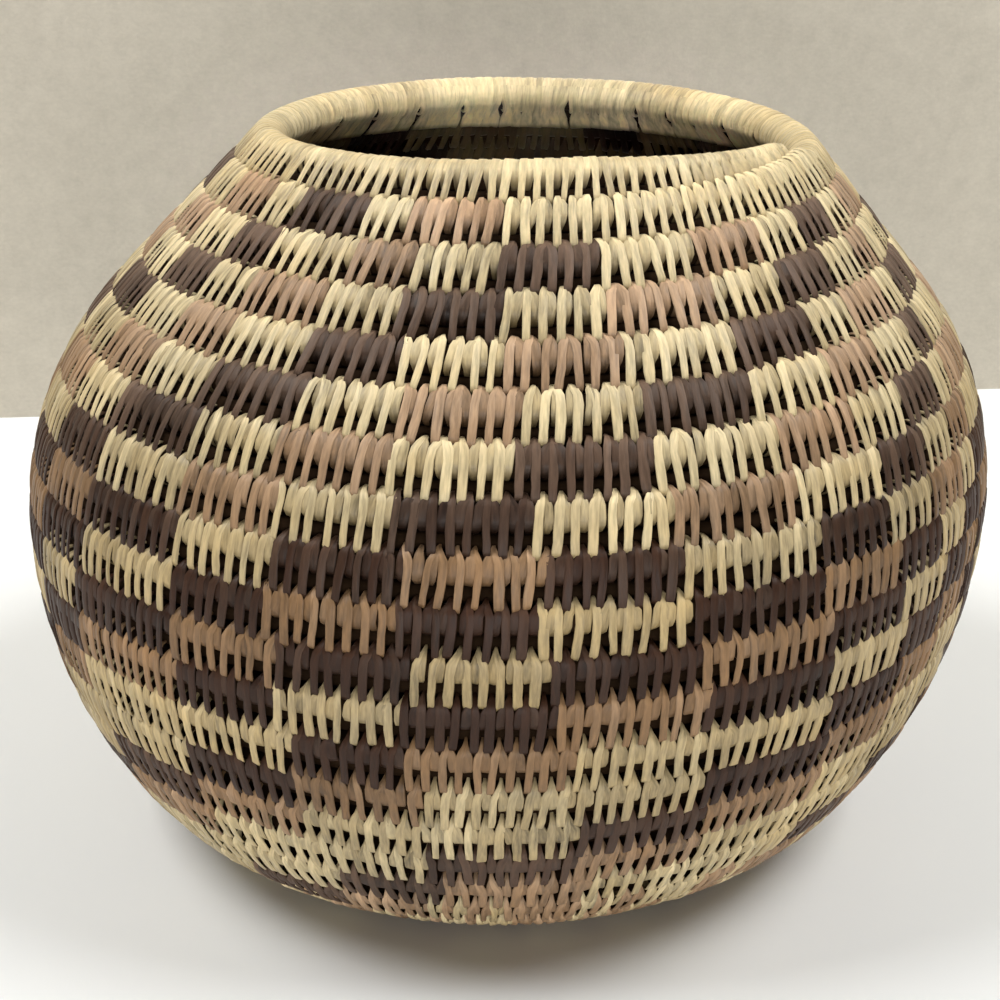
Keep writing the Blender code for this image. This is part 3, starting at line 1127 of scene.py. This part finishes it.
class BASKET_OT_foundation(bpy.types.Operator):
    """Lays the rods inside the coil, from the first turn to the tip"""

    bl_idname = "basket.foundation"
    bl_label = "Lay the rods"

    def execute(self, context):
        core_reach = BUNDLE_HALF_REACH - CORE_DEPTH
        core = circle(CORE_SIDES, core_reach, BUNDLE_HALF_DEPTH - CORE_DEPTH, BUNDLE_REACH)
        neck = circle(NECK_SIDES, NECK_HALF_REACH, NECK_HALF_DEPTH, NECK_REACH)
        points, faces = [], []
        start = 0
        for first, outline in ((CORE_FROM, core), (NECK_FROM, neck)):
            turns = np.linspace(first, TURNS, round((TURNS - first) * ROD_RINGS))
            some, sides = tube(turns, outline, start)
            points.append(some)
            faces.append(sides)
            start += len(some)
        material = rod_material(context.scene.splint_colours.rods)
        piece = new_piece(
            "foundation_rods", np.concatenate(points), np.concatenate(faces), [material]
        )
        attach(piece, "root")
        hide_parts("base_foundation", "wall_foundation")
        return {"FINISHED"}


class BASKET_OT_base(bpy.types.Operator):
    """Sews the start and the five flat courses round it"""

    bl_idname = "basket.base"
    bl_label = "Sew the base"

    def execute(self, context):
        sew_course("start_splints", 0, "start_knot")
        for number in range(1, BASE_TURNS):
            node = f"base_course_{number:02d}"
            sew_course(f"base_splints_{number:02d}", number, node)
        return {"FINISHED"}


class BASKET_OT_wall(bpy.types.Operator):
    """Sews the twenty courses of the wall with their blocks of colour"""

    bl_idname = "basket.wall"
    bl_label = "Sew the wall"

    def execute(self, context):
        for number in range(1, TURNS - BASE_TURNS):
            first = BASE_TURNS + number - 1
            node = f"wall_course_{number:02d}"
            sew_course(f"wall_splints_{number:02d}", first, node)
        return {"FINISHED"}


class BASKET_OT_rim(bpy.types.Operator):
    """Wraps the rim closely down to its tip"""

    bl_idname = "basket.rim"
    bl_label = "Wrap the rim"

    def execute(self, context):
        sew_course("rim_splints", TURNS - 1, "rim_course", rim=True)
        return {"FINISHED"}


def plane(name, corners, material):
    """A flat stage piece from four corners."""
    mesh = bpy.data.meshes.new(name)
    mesh.from_pydata(corners, [], [(0, 1, 2, 3)])
    mesh.materials.append(material)
    made = add_object(name, mesh)


def lamp(name, place, target, size, power):
    """A rectangular lamp that faces a point."""
    light = bpy.data.lights.new(name, "AREA")
    light.shape = "RECTANGLE"
    light.size, light.size_y = size
    light.energy = power
    made = add_object(name, light)
    made.location = place
    made.rotation_euler = (Vector(target) - Vector(place)).to_track_quat("-Z", "Y").to_euler()
    return made


def photo_camera():
    """The camera where the photograph was taken from."""
    data = bpy.data.cameras.new("photo_camera")
    data.sensor_width = SENSOR_WIDTH
    data.lens = FOCAL_PIXELS / IMAGE_PIXELS * SENSOR_WIDTH
    camera = add_object("photo_camera", data)
    turn = Matrix.Rotation(math.radians(-CAMERA_PAN), 4, "Z")
    tilt = Matrix.Rotation(math.radians(90 - CAMERA_PITCH), 4, "X")
    roll = Matrix.Rotation(math.radians(CAMERA_ROLL), 4, "Z")
    place = Vector((CAMERA_RIGHT, -CAMERA_FRONT, CAMERA_HEIGHT)) - Vector(FOOTPRINT_MIDDLE)
    camera.matrix_world = Matrix.Translation(place) @ turn @ tilt @ roll
    bpy.context.scene.camera = camera


class BASKET_OT_stage(bpy.types.Operator):
    """Sets the table, the cloth behind, soft light and the camera"""

    bl_idname = "basket.stage"
    bl_label = "Set the stage"

    def execute(self, context):
        settings = context.scene.stage_settings
        askew = STAGE_HALF * CLOTH_SLANT
        left = (-STAGE_HALF, settings.cloth_distance - askew)
        right = (STAGE_HALF, settings.cloth_distance + askew)
        near = [(-STAGE_HALF, -STAGE_HALF, 0.0), (STAGE_HALF, -STAGE_HALF, 0.0)]
        foot = [(*left, 0.0), (*right, 0.0)]
        top = [(*right, STAGE_HALF), (*left, STAGE_HALF)]
        plane("table", near + foot[::-1], floor_material(settings.floor))
        plane("cloth", foot + top, cloth_material(settings.cloth))
        (aside, *place), target, size = KEY_LAMP
        for side in (-1, 1):
            lamp("key", (side * aside, *place), target, size, settings.key_power)
        lamp("front", *FRONT_LAMP, settings.front_power)
        accent = lamp("rim", *RIM_LAMP, settings.rim_power)
        accent.data.spread = math.radians(RIM_LAMP_SPREAD)
        context.scene.world = room(settings.sky_strength)
        context.scene.view_settings.view_transform = "Standard"
        photo_camera()
        return {"FINISHED"}


class BASKET_PT_panel(bpy.types.Panel):
    """Lists the steps and the sizes and colours"""

    bl_label = "Coiled basket"
    bl_idname = "BASKET_PT_panel"
    bl_space_type = "VIEW_3D"
    bl_region_type = "UI"
    bl_category = "Basket"

    def draw(self, context):
        for step in STEPS:
            self.layout.operator(step.bl_idname)
        for group in SETTINGS:
            settings = getattr(context.scene, group)
            for name in settings.__annotations__:
                self.layout.prop(settings, name)


STEPS = (
    BASKET_OT_foundation,
    BASKET_OT_base,
    BASKET_OT_wall,
    BASKET_OT_rim,
    BASKET_OT_stage,
)
SETTINGS = {
    "coil_sizes": CoilSizes,
    "splint_colours": SplintColours,
    "stage_settings": StageSettings,
}
CLASSES = (*SETTINGS.values(), *STEPS, BASKET_PT_panel)


def register():
    """Adds the classes and their settings to Blender."""
    for one in CLASSES:
        bpy.utils.register_class(one)
    for name, group in SETTINGS.items():
        setattr(bpy.types.Scene, name, bpy.props.PointerProperty(type=group))


def unregister():
    """Takes the classes and their settings out again."""
    for name in SETTINGS:
        delattr(bpy.types.Scene, name)
    for one in reversed(CLASSES):
        bpy.utils.unregister_class(one)


def main():
    """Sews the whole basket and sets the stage."""
    register()
    bpy.ops.basket.foundation()
    bpy.ops.basket.base()
    bpy.ops.basket.wall()
    bpy.ops.basket.rim()
    bpy.ops.basket.stage()


if __name__ == "__main__":
    main()
